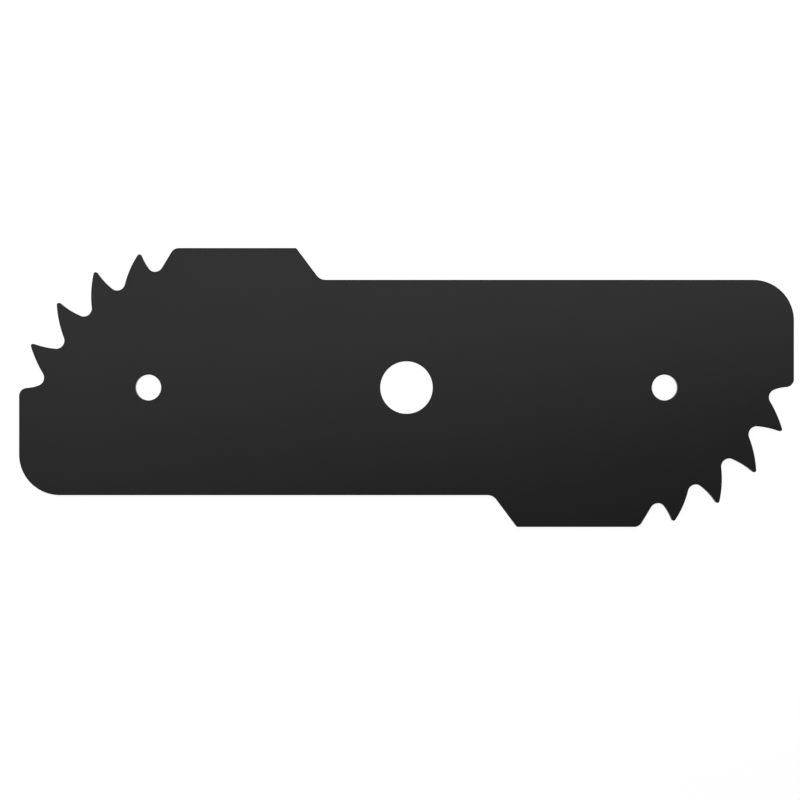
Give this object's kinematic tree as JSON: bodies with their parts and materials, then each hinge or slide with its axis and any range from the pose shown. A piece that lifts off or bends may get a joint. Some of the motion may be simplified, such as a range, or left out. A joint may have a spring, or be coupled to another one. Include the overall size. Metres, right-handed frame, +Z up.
{
  "type": "edger blade",
  "caption": "Flat lawn edger blade: a black coated steel plate with an arbor hole, a small hole near each end, and a curved row of hooked teeth beside a cutting land at opposite corners.",
  "frame": {"origin": "centre of the arbor hole, in the plane of the underside", "axes": "+X along the blade's length, +Y across it towards the land and teeth of the -X end, +Z up through the thickness along the arbor hole's axis"},
  "size_m": [0.1906, 0.0686, 0.003],
  "materials": {
    "coating": "satin black coating"
  },
  "bodies": {
    "root": {"blade": "coating"}
  },
  "joints": []
}
